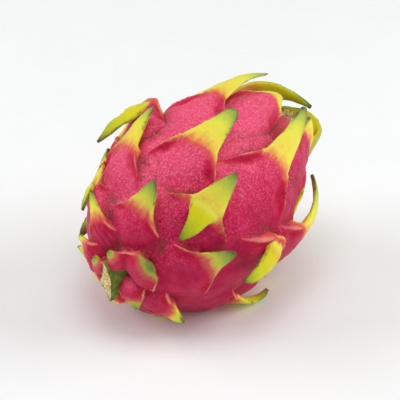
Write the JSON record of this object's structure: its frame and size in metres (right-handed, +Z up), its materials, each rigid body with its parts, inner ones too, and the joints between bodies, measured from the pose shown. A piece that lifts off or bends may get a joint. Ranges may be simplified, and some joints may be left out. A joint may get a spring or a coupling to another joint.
{
  "type": "dragon fruit",
  "caption": "Whole ripe dragon fruit lying on its side, with raised fleshy scales, a crown of long blades, a dried flower remnant and a cut stem end.",
  "frame": {"origin": "middle of the part's box, on the table", "axes": "+X along the fruit from its cut stem to its crown, +Z up; the fruit's own axis rises 13 degrees towards +X"},
  "size_m": [0.13, 0.0958, 0.0864],
  "materials": {
    "rind": "satin",
    "stem": "matte",
    "dried_flower": "matte"
  },
  "bodies": {
    "root": {"fruit": "rind", "stem_stub": "stem", "flower_remains": "dried_flower"}
  },
  "joints": []
}
